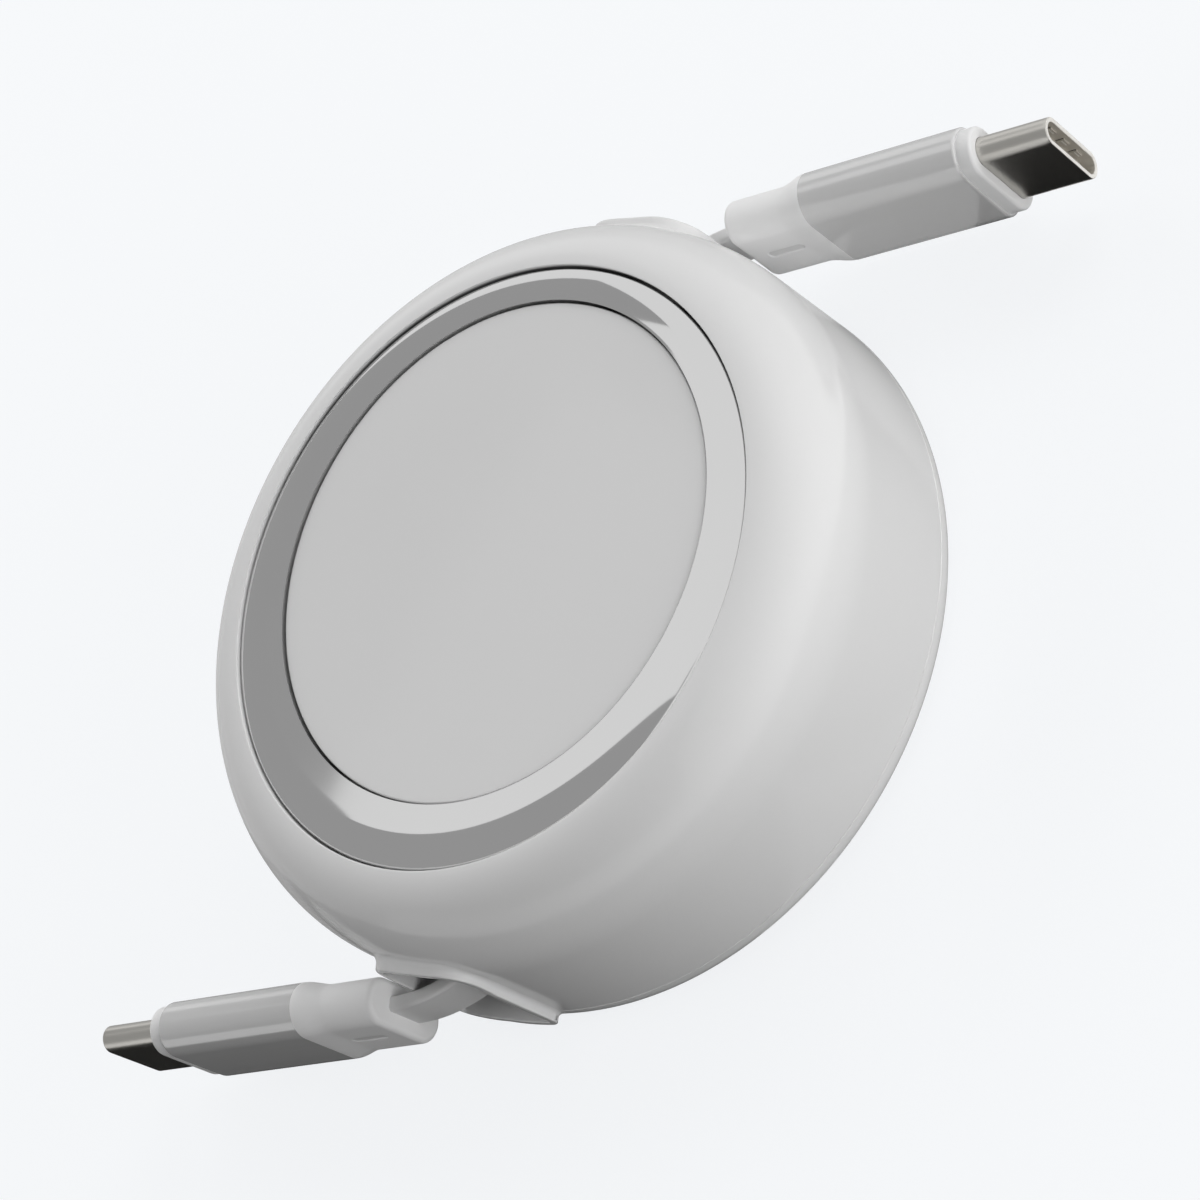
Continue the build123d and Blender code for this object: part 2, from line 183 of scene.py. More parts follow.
# What glossy rays see of the sky: azimuths are in degrees, and heights are the Z of a direction.
studio_light = 0.90
studio_dark = 0.40
high_azimuth, high_from, high_to = 69.4, 0.689, 0.989
notch_from, notch_to, notch_top = 51.9, 44.2, 0.715
low_azimuth = 31.9
low_normal = (0.234, 0.410, -0.368)
left_azimuth, left_top = 301.3, 0.42

world = bpy.data.worlds.new("studio")
scene.world = world
world.use_nodes = True
world.node_tree.nodes.clear()
start = Shade(world.node_tree)
is_camera = start.node("ShaderNodeLightPath", {}, {}, "Is Camera Ray")
is_glossy = start.node("ShaderNodeLightPath", {}, {}, "Is Glossy Ray")
way = start.node("ShaderNodeTexCoord", {}, {}, "Generated")
height = start.node("ShaderNodeSeparateXYZ", {}, {"Vector": way}, "Z")


def side_of(normal):
    """One where a direction lies on the side of a plane that its normal points to, and nought elsewhere."""
    return way.node("ShaderNodeVectorMath", {"operation": "DOT_PRODUCT"}, {0: way, 1: normal}, "Value") > 0.0


def facing(azimuth):
    """One on the half of the sky round an azimuth."""
    angle = np.radians(azimuth)
    return side_of((np.cos(angle), np.sin(angle), 0))


notch = facing(notch_from) * (1 - facing(notch_to)) * (height < notch_top)
high_screen = facing(high_azimuth) * (height > high_from) * (height < high_to) * (1 - notch)
low_screen = facing(low_azimuth) | side_of(low_normal)
left_screen = facing(left_azimuth) * (height < left_top)
reflected = studio_dark + (studio_light - studio_dark) * (high_screen | low_screen | left_screen)
tone = is_camera.mix(reflected, pale)
sky = start.node("ShaderNodeBackground", {}, {"Color": tone, "Strength": is_camera + is_glossy})
start.node("ShaderNodeOutputWorld", {}, {"Surface": sky})

lamp_distance = 0.7
lamp_size = 0.5
lamp_target = np.array([0, 0, 10 * mm])


def add_lamp(name, azimuth, elevation, brightness, distance=lamp_distance, size=lamp_size):
    """A square soft lamp aimed at the puck.

    Its power gives a white matte face that is square to it that brightness.
    """
    a, e = np.radians(azimuth), np.radians(elevation)
    toward = np.array([np.cos(e) * np.cos(a), np.cos(e) * np.sin(a), np.sin(e)])
    data = bpy.data.lights.new(name, "AREA")
    data.energy = brightness * np.pi**2 * distance**2
    data.size = size
    lamp = bpy.data.objects.new(name, data)
    side = np.cross((0, 0, 1), toward)
    side = side / np.linalg.norm(side)
    lamp.matrix_world = aimed(side, np.cross(toward, side), toward, toward * distance + lamp_target)
    lamp.visible_glossy = False
    scene.collection.objects.link(lamp)


add_lamp("key_lamp", 20, 8, 0.30)
add_lamp("near_lamp", 340, 14, 0.16, distance=0.17, size=0.1)
add_lamp("right_lamp", 345, 12, 0.29)
add_lamp("camera_lamp", 320, 15, 0.20)
add_lamp("side_lamp", 66, 30, 0.44)
add_lamp("back_lamp", 138, 26, 0.45)
add_lamp("left_lamp", 190, 25, 0.38)
add_lamp("top_lamp", 300, 80, 0.05)


# The back cover.
# A shallow white dish, injection moulded with a satin finish and snapped into the front shell. It lies on
# its flat face; its edge is rounded, and at each cable window its rim is cut down to the window's sill.
body_radius = 32.4
back_edge_radius = 2.0
seam_height = 2.45
seam_gap = 0.04
wall = 1.8
floor_thickness = 1.6
spigot_gap = 0.05
spigot_wall = 1.2
spigot_top = 4.05
edge_break = 0.05
past_arc = 0.1
axis_hole = 0.01
window_from, window_to = 3.3, 12.6
window_bottom, window_top = 2.2, 14.1
window_corner = 2.4
window_side = 20
rim_cut_margin = 0.3
around = 360
sharp_angle = np.radians(38)


def fill(mesh, places, faces):
    """Puts points in metres and their faces into a mesh, smooth except where it turns sharply."""
    mesh.from_pydata(places.tolist(), [], faces)
    mesh.shade_smooth()
    mesh.set_sharp_from_angle(angle=sharp_angle)


def skin(name, points, closed=True, caps=False, shut=False):
    """A mesh object over a grid of points in millimetres, rows first.

    Each face joins a point to its neighbours in the next column and the next row, so a face looks along
    column step times row step. closed joins the last column to the first, shut the last row to the first,
    and caps fill the first and the last row.
    """
    rows, columns = points.shape[:2]
    index = np.arange(rows * columns).reshape(rows, columns)
    if closed:
        index = np.concatenate([index, index[:, :1]], axis=1)
    if shut:
        index = np.concatenate([index, index[:1]], axis=0)
    corners = [index[:-1, :-1], index[:-1, 1:], index[1:, 1:], index[1:, :-1]]
    faces = np.stack(corners, axis=-1).reshape(-1, 4).tolist()
    if caps:
        faces += [index[0, :columns][::-1].tolist(), index[-1, :columns].tolist()]
    mesh = bpy.data.meshes.new(name)
    fill(mesh, points.reshape(-1, 3) * mm, faces)
    piece = bpy.data.objects.new(name, mesh)
    scene.collection.objects.link(piece)
    return piece


def spun(profile, columns):
    """A profile of radius and height turned once about Z: each profile point becomes a circle."""
    angle = np.linspace(0, 2 * np.pi, columns, endpoint=False)
    radius, height = profile[:, :1] * np.ones(columns), profile[:, 1:] * np.ones(columns)
    return np.stack([radius * np.cos(angle), radius * np.sin(angle), height], axis=-1)


def arc(centre, size, start_angle, end_angle, count):
    """Points of radius and height on an ellipse, between two angles in degrees."""
    angle = np.radians(np.linspace(start_angle, end_angle, count))
    return np.stack([centre[0] + size[0] * np.cos(angle), centre[1] + size[1] * np.sin(angle)], axis=-1)


def line(first, last, count):
    """Evenly spaced points from first to last, without the last."""
    share = np.linspace(0, 1, count, endpoint=False)[:, None]
    return np.array(first) + (np.array(last) - np.array(first)) * share


def new_finish(name, metallic=0.0):
    """A new material with its share of metal, and the Object coordinates that its textures read."""
    material = bpy.data.materials.new(name)
    material.use_nodes = True
    material.node_tree.nodes["Principled BSDF"].inputs["Metallic"].default_value = metallic
    return material, Shade(material.node_tree).node("ShaderNodeTexCoord", {}, {}, "Object")


def uneven(texture, colour, darker, lighter):
    """A colour that a texture carries from a darker tint of itself to a lighter one."""
    low = tuple(c * darker for c in colour) + (1,)
    high = tuple(min(1.0, c * lighter) for c in colour) + (1,)
    return texture.mix(low, high)


def uneven_gloss(texture, roughness, swing):
    """A roughness that a texture carries from a swing below its middle to a swing above it."""
    return roughness - swing + 2 * swing * texture


def feed(material, sockets):
    """Links values to the sockets of a material's shader, and gives the material back."""
    shader = material.node_tree.nodes["Principled BSDF"]
    for socket, value in sockets.items():
        material.node_tree.links.new(value.socket, shader.inputs[socket])
    return material


def moulded(name, colour, roughness, grain, painted_shade=None):
    """A moulded plastic: faint cloudiness in the colour, uneven gloss and a fine spark-eroded grain.

    Where the mesh carries the named attribute, painted shade makes the colour darker by that share.
    """
    material, place = new_finish(name)
    cloud = place.node("ShaderNodeTexNoise", {}, {"Vector": place, "Scale": 60.0, "Detail": 3.0})
    speck = place.node("ShaderNodeTexNoise", {}, {"Vector": place, "Scale": 5200.0, "Detail": 2.0})
    tint = uneven(cloud, colour, darker=0.988, lighter=1.012)
    if painted_shade:
        shade_share = place.node("ShaderNodeAttribute", {"attribute_name": painted_shade}, {}, "Fac")
        tint = shade_share.mix(tint, (0, 0, 0, 1))
    gloss = uneven_gloss(cloud, roughness, swing=0.03)
    bump = place.node("ShaderNodeBump", {}, {"Strength": grain, "Distance": 0.01 * mm, "Height": speck})
    return feed(material, {"Base Color": tint, "Roughness": gloss, "Normal": bump})


def dress(piece, material, body, slot, *nodes):
    """Gives a new piece its material and its body, and hides the solids it stands for. The finish slot is not
    used.
    """
    piece.data.materials.append(material)
    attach(piece, body)
    if nodes:
        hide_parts(*nodes)


# The shell's recess wall gets painted shade through its in_recess attribute.
white_plastic = moulded("white_plastic", (0.80, 0.80, 0.80), roughness=0.14, grain=0.04, painted_shade="in_recess")
rim_top = seam_height - seam_gap
flat_radius = body_radius - back_edge_radius
spigot = body_radius - wall - spigot_gap
cover_profile = np.concatenate([
    line((axis_hole, 0), (flat_radius, 0), 8),
    arc((flat_radius, back_edge_radius), (back_edge_radius, back_edge_radius), -90, 0, 16),
    line((body_radius, back_edge_radius + past_arc), (body_radius, rim_top - edge_break), 4),
    line((body_radius, rim_top - edge_break), (body_radius - edge_break, rim_top), 2),
    line((body_radius - edge_break, rim_top), (spigot, rim_top), 3),
    line((spigot, rim_top), (spigot, spigot_top), 3),
    line((spigot, spigot_top), (spigot - spigot_wall, spigot_top), 2),
    line((spigot - spigot_wall, spigot_top), (spigot - spigot_wall, floor_thickness), 3),
    line((spigot - spigot_wall, floor_thickness), (axis_hole, floor_thickness), 8),
])
cover_points = spun(cover_profile, around)
window_middle = (window_from + window_to) / 2
window_half = (window_to - window_from) / 2
x, y, z = np.moveaxis(cover_points, -1, 0)
by_window = (np.abs(np.abs(x) - window_middle) < window_half + rim_cut_margin) & (x * y > 0)
by_window &= np.abs(y) > window_side
cover_points[..., 2] = np.where(by_window, np.minimum(z, window_bottom - edge_break), z)
cover_piece = skin("back_cover_dish", cover_points, caps=True)
dress(cover_piece, white_plastic, "housing", "white_plastic", "back_cover")


# The front shell.
# The white upper half, one satin moulding: a straight wall, a soft elliptical shoulder and a deep recess
# for the trim. Behind the wall it is hollow, and two windows let the cable out.
shoulder_width = 6.3
shoulder_height = 8.0
shoulder_end = 88.5
body_height = 20.5
deck_height = 18.2
deck_under = 16.4
opening_round = 0.08
recess_start = 0.4
cavity_step = 0.3
window_margin = 0.35
window_inset = 1
recess_rim = 0.3
recess_tolerance = 0.01
recess_shade = 0.85
shade_azimuth = 60
shade_level = 0.5
wall_top = body_height - shoulder_height
opening_radius = body_radius - shoulder_width
cavity_radius = body_radius - wall

inner_rise = shoulder_height - wall
inner_end = np.degrees(np.arcsin((deck_under - wall_top) / inner_rise))
opening_edge = (opening_radius + opening_round, body_height - opening_round)
shell_profile = np.concatenate([
    line((cavity_radius, seam_height), (body_radius - edge_break, seam_height), 3),
    line((body_radius - edge_break, seam_height), (body_radius, seam_height + edge_break), 2),
    line((body_radius, seam_height + edge_break), (body_radius, wall_top), 26),
    arc((opening_radius, wall_top), (shoulder_width, shoulder_height), 0, shoulder_end, 44),
    arc(opening_edge, (opening_round, opening_round), 90, 180, 6),
    line((opening_radius, body_height - recess_start), (opening_radius, deck_height), 4),
    line((opening_radius, deck_height), (axis_hole, deck_height), 6),
    line((axis_hole, deck_under), (opening_radius, deck_under), 4),
    arc((opening_radius, wall_top), (shoulder_width - wall, inner_rise), inner_end, 0, 12),
    line((cavity_radius, wall_top - cavity_step), (cavity_radius, seam_height + cavity_step), 20),
])
shell_piece = skin("front_shell_cup", spun(shell_profile, around), shut=True)


def open_windows(piece, margin):
    """Takes away the faces that lie over either window, so that the lip can close the edge.

    The distance to the window's outline is that to a rectangle drawn in by the corner's radius, less that
    radius. A face goes where the distance is below the margin.
    """
    mesh = piece.data
    centre = np.empty(len(mesh.polygons) * 3)
    mesh.polygons.foreach_get("center", centre)
    x, y, z = (centre.reshape(-1, 3) / mm).T
    beyond = np.abs(np.abs(x) - window_middle) - window_half + window_corner
    above = z - window_top + window_corner
    outside = np.hypot(np.maximum(beyond, 0), np.maximum(above, 0)) - window_corner
    in_wall = (np.hypot(x, y) > cavity_radius - window_inset) & (np.abs(y) > window_side)
    kept = np.flatnonzero(~((outside < margin) & (x * y > 0) & in_wall))
    corners = np.empty(len(mesh.loops), dtype=int)
    mesh.loops.foreach_get("vertex_index", corners)
    faces = corners.reshape(-1, 4)[kept].tolist()
    places = np.empty(len(mesh.vertices) * 3)
    mesh.vertices.foreach_get("co", places)
    mesh.clear_geometry()
    fill(mesh, places.reshape(-1, 3), faces)


open_windows(shell_piece, window_margin)

# The recess's wall, seen as a hairline round the ring, is darkened by painted shade, darkest at the shade's
# azimuth.
recess_wall = shell_profile[:, 0] < opening_radius + recess_tolerance
recess_wall &= shell_profile[:, 1] < body_height - recess_rim
azimuth = np.linspace(0, 2 * np.pi, around, endpoint=False)
shaded = np.clip(shade_level + np.cos(azimuth - np.radians(shade_azimuth)), 0, 1)
in_recess = shell_piece.data.attributes.new("in_recess", "FLOAT", "POINT")
in_recess.data.foreach_set("value", np.outer(recess_wall, recess_shade * shaded).ravel())
dress(shell_piece, white_plastic, "housing", "white_plastic", "front_shell")


# The window lips.
# Each cable window has a raised, rounded lip moulded with the wall, so that the cable rubs on no edge.
# It swells softly out of the wall; below the seam it goes on over the back cover's rim and ends square.
lip_proud = 0.9
lip_lean = 0.07
lean_from = 8
lip_ease = 0.25
ease_from, ease_over = 10, 5
lip_width = 0.7
lip_fillet = 0.42
lip_round = 0.14
lip_foot = 1.05
lip_depth = 1.85
lip_clearance = 0.004
low_corner = 0.3
corner_step = 0.5
sill_drop = 0.2
sill_step = 0.3
steepest = 0.999


def wall_radius(height):
    """The housing's outside radius at a height.

    From below it follows the rounded back edge, the straight wall and then the shoulder.
    """
    up = np.clip((height - wall_top) / shoulder_height, 0, steepest)
    down = np.clip((back_edge_radius - height) / back_edge_radius, 0, steepest)
    shoulder = opening_radius + shoulder_width * np.sqrt(1 - up**2)
    return shoulder - back_edge_radius * (1 - np.sqrt(1 - down**2))


def lip_section():
    """The lip's section as distance out of the window and rise off the wall.

    A hollow quarter round leads from the wall into the lip's outer side, two small rounds make its crest,
    and its inner side goes straight in through the wall.
    """
    turn = np.linspace(0, np.pi / 2, 9)
    sine, cosine = 1 - np.sin(turn), 1 - np.cos(turn)
    foot = np.stack([lip_width + lip_fillet * sine, lip_fillet * cosine], axis=-1)
    outer = np.stack([lip_width - lip_round * cosine, lip_proud - lip_round * sine], axis=-1)
    inner = np.stack([lip_round * sine, lip_proud - lip_round * cosine], axis=-1)
    inside = np.stack([np.zeros(8), np.linspace(lip_proud - lip_round - past_arc, -lip_depth, 8)], axis=-1)
    return np.concatenate([foot, outer, inner, inside])


def corner_path(centre, size, start_angle, end_angle, count):
    """A rounded corner of the window: points on a circle, each with the direction out of the window."""
    angle = np.radians(np.linspace(start_angle, end_angle, count))
    out = np.stack([np.cos(angle), np.sin(angle)], axis=-1)
    return np.concatenate([np.array(centre) + size * out, out], axis=-1)


def side_path(first, last, out, count):
    """A straight side of the window, with its one direction out of the window."""
    return np.concatenate([line(first, last, count), np.tile(out, (count, 1))], axis=-1)


def lip_surface(path):
    """The lip over a path: each path point is carried out of the window and lifted by the lip's section.

    The grid runs along the path and across the section. A point keeps its X and its height, and Y puts it
    on its radius. The crest is flatter than the wall: it stands taller on the side of the window where the
    wall curves away, and eases down along the top.
    """
    out, rise = lip_section().T
    x = path[:, None, 0] + path[:, None, 2] * out
    z = np.maximum(path[:, None, 1] + path[:, None, 3] * out, lip_foot)
    wall_here = wall_radius(z)
    leaning = lip_lean * np.maximum(x - lean_from, 0)
    proud = lip_proud + leaning - lip_ease * np.clip((z - ease_from) / ease_over, 0, 1)
    lift = np.where(rise > 0, (body_radius + proud - wall_here) / lip_proud, 1.0)
    radius = wall_here + rise * lift + lip_clearance
    return np.stack([x, np.sqrt(radius**2 - x**2), z], axis=-1)


top_left, top_right = window_from + window_corner, window_to - window_corner
top_low = window_top - window_corner
upper_path = np.concatenate([
    side_path((window_to, seam_height), (window_to, top_low), (1, 0), 16),
    corner_path((top_right, top_low), window_corner, 0, 90, 14),
    side_path((top_right - corner_step, window_top), (top_left + corner_step, window_top), (0, 1), 14),
    corner_path((top_left, top_low), window_corner, 90, 180, 14),
    side_path((window_from, top_low - corner_step), (window_from, seam_height), (-1, 0), 16),
    side_path((window_from, seam_height), (window_from, seam_height), (-1, 0), 1),
])
sill_left, sill_right = window_from + low_corner, window_to - low_corner
sill_high = window_bottom + low_corner
lower_path = np.concatenate([
    side_path((window_from, rim_top), (window_from, sill_high - sill_drop), (-1, 0), 2),
    corner_path((sill_left, sill_high), low_corner, 180, 270, 8),
    side_path((sill_left + sill_step, window_bottom), (sill_right, window_bottom), (0, -1), 20),
    corner_path((sill_right, sill_high), low_corner, 270, 360, 8),
    side_path((window_to, rim_top), (window_to, rim_top), (1, 0), 1),
])
both_sides = (("a", np.array([1, 1, 1])), ("b", np.array([-1, -1, 1])))
for side, turn in both_sides:
    for name, path in (("window_lip_", upper_path), ("window_sill_", lower_path)):
        lip = skin(name + side, lip_surface(path)[:, ::-1] * turn, closed=False)
        dress(lip, white_plastic, "housing", "white_plastic")


# The trim ring.
# A polished metal-look ring let into the shell's recess with a hairline round it. Its face is crowned, its
# outer edge has a fine bevel, and because the disc sits off the middle the ring is wider on one side.
ring_radius = 25.93
ring_edge_top = 20.2
ring_crown = 0.55
ring_crest = 22.59
ring_bevel = 0.12
disc_radius = 21.6
disc_gap = 0.15
disc_offset = np.array([0.8, 0.9])
trim_columns = 288


def ring_surface(columns):
    """The ring over angle and section: a crown turned about the puck's axis, with the disc's round hole cut.

    Inside its crest circle the ring is flat, and outside its height falls off with the square of the
    distance from that circle. On each ray from the axis the section runs up the outer side, over a bevel,
    across the crown to where the ray meets the hole, and down.
    """
    angle = np.linspace(0, 2 * np.pi, columns, endpoint=False)
    ray = np.stack([np.cos(angle), np.sin(angle)], axis=-1)
    ahead = ray @ disc_offset
    hole = ahead + np.sqrt(ahead**2 - disc_offset @ disc_offset + (disc_radius + disc_gap)**2)
    share = np.linspace(0, 1, 44)[:, None]
    across = ring_radius - ring_bevel + (hole + ring_bevel - ring_radius) * share
    radius = np.concatenate([[ring_radius * np.ones(columns)] * 2, across, [hole, hole]])
    fall = np.maximum((radius - ring_crest) / (ring_radius - ring_crest), 0)**2
    crown = ring_edge_top + ring_crown * (1 - fall)
    crown[1] -= ring_bevel
    crown[[0, -1]] = deck_height
    return np.concatenate([radius[..., None] * ray, crown[..., None]], axis=-1)


def polished(name, colour, roughness):
    """Polished metal: a clean mirror with faint clouds in its colour and its haze."""
    material, place = new_finish(name, metallic=1.0)
    cloud = place.node("ShaderNodeTexNoise", {}, {"Vector": place, "Scale": 90.0, "Detail": 3.0})
    tint = uneven(cloud, colour, darker=0.98, lighter=1.01)
    haze = 0.03
    return feed(material, {"Base Color": tint, "Roughness": roughness + haze * cloud})


ring_metal = polished("polished_ring", (0.70, 0.70, 0.70), roughness=0.03)
ring_piece = skin("trim_ring_crowned", ring_surface(trim_columns))
dress(ring_piece, ring_metal, "housing", "polished_metal", "trim_ring")


# The front disc.
# A plain white cap with a satin gloss, glued to the deck inside the ring. Its edge is finely rounded and
# its face is bare.
disc_top = 20.5
disc_edge = 0.14
disc_step = 0.3
disc_profile = np.concatenate([
    line((disc_radius, deck_height), (disc_radius, disc_top - disc_edge), 4),
    arc((disc_radius - disc_edge, disc_top - disc_edge), (disc_edge, disc_edge), 0, 90, 14),
    line((disc_radius - disc_edge - disc_step, disc_top), (axis_hole, disc_top), 10),
])
disc_points = spun(disc_profile, trim_columns) + np.array([*disc_offset, 0])
satin_white = moulded("satin_white", (0.78, 0.78, 0.78), roughness=0.08, grain=0.02)
dress(skin("front_disc_cap", disc_points, caps=True), satin_white, "housing", "gloss_plastic", "front_disc")


# The reel and its stop.
# Inside, a grey reel turns on a steel arbor, with a blued clock spring in its hub and the flat cable wound
# on it in pairs. A small pawl hangs from the deck and rides in the stop track.
def drawn_lines(place, along, across):
    """A fine noise drawn out into lines along X, from its scales along and across them."""
    drawn = place.node("ShaderNodeMapping", {}, {"Vector": place, "Scale": (along, across, across)})
    return place.node("ShaderNodeTexNoise", {}, {"Vector": drawn, "Scale": 1.0, "Detail": 2.0})


def plain_metal(name, colour, roughness):
    """Turned or rolled metal: fine drawn lines along one way in its gloss, and a slightly uneven colour."""
    material, place = new_finish(name, metallic=1.0)
    lines = drawn_lines(place, along=60.0, across=3000.0)
    tint = uneven(lines, colour, darker=0.92, lighter=1.06)
    return feed(material, {"Base Color": tint, "Roughness": uneven_gloss(lines, roughness, swing=0.05)})


def repaint(material, *nodes):
    """Puts a material on solids that keep their own shape."""
    for node in nodes:
        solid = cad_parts[node]
        solid.data.materials.clear()
        solid.data.materials.append(material)


grey_plastic = moulded("grey_plastic", (0.42, 0.43, 0.45), roughness=0.5, grain=0.3)
natural_plastic = moulded("natural_plastic", (0.74, 0.73, 0.68), roughness=0.4, grain=0.2)
jacket = moulded("cable_jacket", (0.78, 0.78, 0.78), roughness=0.5, grain=0.3)
repaint(grey_plastic, "reel_drum", "reel_flange")
repaint(natural_plastic, "latch_pawl", "thrust_washer")
repaint(jacket, "cable_winding")
bright_steel = plain_metal("bright_steel", (0.55, 0.55, 0.56), roughness=0.25)
repaint(bright_steel, "spring_arbor", "centre_screw", "pawl_pin")
repaint(plain_metal("blued_spring", (0.30, 0.30, 0.33), roughness=0.3), "main_spring")


# The cable leads.
# A flat white cable with a soft matte jacket leaves each window on a slant and bends round to run into
# the boot. It is drawn out with the plug.
cable_width = 4.2
cable_thickness = 1.3
cable_corner = 0.35
cable_height = 6.8
cable_bend = 15.0
run_radius = 24.35
hidden_length = 9.0
hidden_count = 12
plug_offset = 32.0
boot_rear = 15.0
lead_tail = 0.6


def strip_section(count):
    """The flat cable's section: a rectangle with rounded corners, height first and then thickness."""
    corners = []
    for middle, signs in ((45, (1, 1)), (135, (-1, 1)), (225, (-1, -1)), (315, (1, -1))):
        angle = np.radians(np.linspace(middle - 45, middle + 45, count))
        centre = np.array(signs) * (np.array([cable_width, cable_thickness]) / 2 - cable_corner)
        corners.append(centre + cable_corner * np.stack([np.cos(angle), np.sin(angle)], axis=-1))
    return np.concatenate(corners)


def strip(path, turn):
    """The section carried along a path and set square to it, given how far the path leans at each point."""
    normal = np.stack([-np.sin(turn), np.cos(turn)], axis=-1)
    section = strip_section(6)
    flat = path[:, None] + normal[:, None] * section[None, :, 1:]
    high = np.ones((len(path), 1, 1)) * cable_height + section[None, :, :1]
    return np.concatenate([flat, high], axis=-1)[:, ::-1]


bend_centre = np.array([boot_rear, plug_offset - cable_bend])
lean = np.arccos((run_radius - cable_bend) / np.hypot(*bend_centre)) - np.arctan2(*bend_centre)
mouth = np.arcsin((boot_rear - window_to) / cable_bend)


def on_bend(angle):
    """Points on the bend's circle, at angles back from the boot."""
    return bend_centre + cable_bend * np.stack([-np.sin(angle), np.cos(angle)], axis=-1)


inner_turn = np.linspace(lean, mouth, 24)
inner_start = on_bend(lean) - hidden_length * np.array([np.cos(lean), np.sin(lean)])
run_path = np.concatenate([line(inner_start, on_bend(lean), hidden_count), on_bend(inner_turn)])
run_points = strip(run_path, np.concatenate([np.full(hidden_count, lean), inner_turn]))
outer_turn = np.linspace(mouth, 0, 20)
lead_path = np.concatenate([on_bend(outer_turn), [[boot_rear + lead_tail, plug_offset]]])
lead_points = strip(lead_path, np.concatenate([outer_turn, [0]]))
for side, turn in both_sides:
    run = skin("cable_run_strip_" + side, run_points * turn, caps=True)
    dress(run, jacket, "housing", "cable_jacket", "cable_run_" + side)
    lead = skin("cable_lead_strip_" + side, lead_points * turn, caps=True)
    lead.data.materials.append(jacket)
    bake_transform(lead)
    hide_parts("cable_lead_" + side)


# The boots.
# A soft white moulding behind each plug: a flat oval with a rounded rear edge, a slot sunk in each broad
# face and a neck that flares out in an S to the size of the sleeve.
boot_front = 23.1
neck_from = 20.3
boot_size = np.array([9.2, 4.1])
sleeve_size = np.array([10.65, 4.8])
boot_edge = 0.55
boot_step = 0.05
slot_middle = 18.55
slot_length = 3.5
slot_width = 0.85
slot_depth = 0.1
slot_side = 0.1
# How much painted shade darkens the slot's floor.
slot_painted_shade = 0.18
end_count = 28


def oval(count):
    """The direction round a flat oval and the side its end lies on: two half circles joined by flats."""
    right = np.linspace(-np.pi / 2, np.pi / 2, count)
    angle = np.concatenate([right, right + np.pi])
    end = np.concatenate([np.ones(count), -np.ones(count)])
    return np.stack([np.cos(angle), -np.sin(angle)], axis=-1), end


def oval_skin(x, size, inset):
    """Ovals square to the plug's axis, one at each X, drawn in by its inset on all sides.

    The ends are half circles of the oval's thickness, and size is a width and a thickness, or one for each X.
    """
    way, end = oval(end_count)
    width, thickness = (size - 2 * inset[:, None]).T[..., None]
    half = thickness / 2
    high = cable_height + end * (width - thickness) / 2 + half * way[:, 0]
    flat = plug_offset + half * way[:, 1]
    return np.stack([x[:, None] * np.ones(2 * end_count), flat, high], axis=-1)


def with_flats(points, share):
    """Adds columns on both flats of an oval skin, at given shares of the way across each flat."""
    first, second = points[:, :end_count], points[:, end_count:]
    toward = share[None, :, None]
    down = first[:, -1:] + (second[:, :1] - first[:, -1:]) * toward
    up = second[:, -1:] + (first[:, :1] - second[:, -1:]) * toward
    return np.concatenate([first, down, second, up], axis=1)


def slot_cover(points):
    """How far each point lies inside the round-ended slot: nought outside, one on its floor.

    The distance to the outline is that to a line segment, less half the slot's width, and the cover grows
    over the width of the slot's side.
    """
    x, z = points[..., 0], points[..., 2]
    past = np.maximum(np.abs(x - slot_middle) - (slot_length - slot_width) / 2, 0)
    outside = np.hypot(past, z - cable_height) - slot_width / 2
    return np.clip(0.5 - outside / slot_side, 0, 1)


def rounded_end(x, radius, count, toward):
    """Stations over a rounded edge: how far along the axis and how much the outline draws in."""
    angle = np.linspace(0, np.pi / 2, count)
    return x + toward * radius * np.sin(angle), radius * (1 - np.cos(angle))


rear_x, rear_in = rounded_end(boot_rear + boot_edge, boot_edge, 10, -1)
body_x = np.linspace(boot_rear + boot_edge + boot_step, neck_from - boot_step, 101)
neck_x = np.linspace(neck_from, boot_front, 24)
neck = (neck_x - neck_from) / (boot_front - neck_from)
flare = neck * neck * (3 - 2 * neck)
boot_x = np.concatenate([rear_x[::-1], body_x, neck_x])
boot_in = np.concatenate([rear_in[::-1], np.zeros(len(body_x) + len(neck_x))])
boot_swell = np.concatenate([np.zeros(len(rear_x) + len(body_x)), flare])
boot_sizes = boot_size + (sleeve_size - boot_size) * boot_swell[:, None]
flat_side = np.linspace(0.1, 0.4, 4, endpoint=False)
across_flat = np.concatenate([flat_side, np.linspace(0.4, 0.6, 25), 1 - flat_side[::-1]])
boot_points = with_flats(oval_skin(boot_x, boot_sizes, boot_in), across_flat)
in_slot = slot_cover(boot_points)
boot_points[..., 1] -= np.sign(boot_points[..., 1] - plug_offset) * slot_depth * in_slot
soft_white = moulded("soft_white", (0.84, 0.84, 0.84), roughness=0.5, grain=0.3)
boot_white = moulded("boot_white", (0.89, 0.89, 0.89), roughness=0.5, grain=0.3, painted_shade="in_slot")
for side, turn in both_sides:
    boot = skin("boot_moulding_" + side, boot_points * turn, caps=True)
    # The slot's floor is made darker by painted shade.
    shade_share = boot.data.attributes.new("in_slot", "FLOAT", "POINT")
    shade_share.data.foreach_set("value", slot_painted_shade * in_slot.ravel())
    dress(boot, boot_white, "plug_" + side, "soft_white", "boot_" + side)


# The sleeves.
# A drawn oval metal tube with a satin lacquer, pushed over the moulded core behind each plug. It butts
# against the boot's neck, and its front rim is broken by a fine edge.
sleeve_front = 38.0
sleeve_wall = 0.5
sleeve_edge = 0.2
sleeve_lap = 0.05
sleeve_start = 0.1
sleeve_step = 0.4
sleeve_return = 1.5


